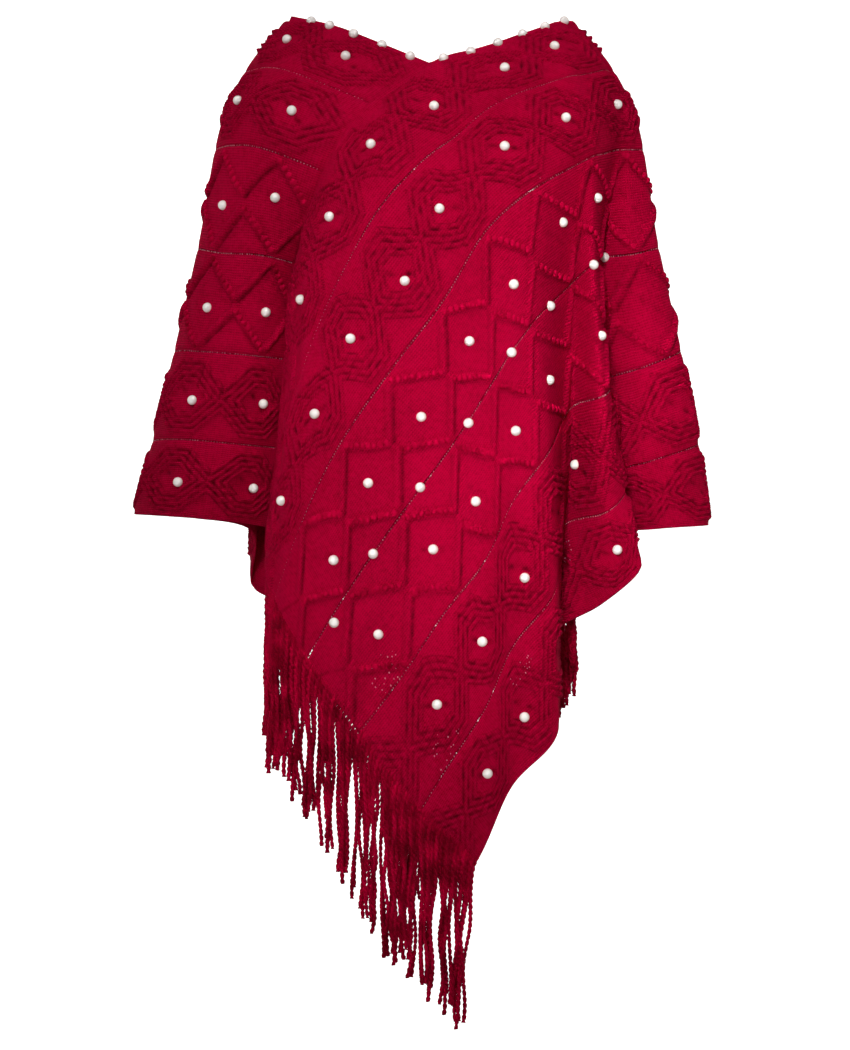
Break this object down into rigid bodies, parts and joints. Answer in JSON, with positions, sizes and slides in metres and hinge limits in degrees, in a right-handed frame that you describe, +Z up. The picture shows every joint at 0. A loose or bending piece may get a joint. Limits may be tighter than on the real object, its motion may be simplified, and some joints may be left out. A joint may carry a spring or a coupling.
{
  "type": "sweater cape",
  "caption": "Knitted two-panel sweater cape with V necks front and back, raised cable hexagons and diamonds set with pearls, and fringed ends, hung as worn.",
  "frame": {"origin": "midway between the two shoulder crests, where the wearer's shoulders hold the cape", "axes": "+Z up, +X to the viewer's right when facing the front, the front faces -Y"},
  "size_m": [0.5918, 0.306, 1.026],
  "materials": {
    "knit": "soft crimson wool-blend knit",
    "fringe": "twisted crimson yarn",
    "pearl": "pearly half-round bead"
  },
  "bodies": {
    "root": {"front_right_panel": "knit", "back_left_panel": "knit", "front_fringe": "fringe", "back_fringe": "fringe"}
  },
  "joints": []
}
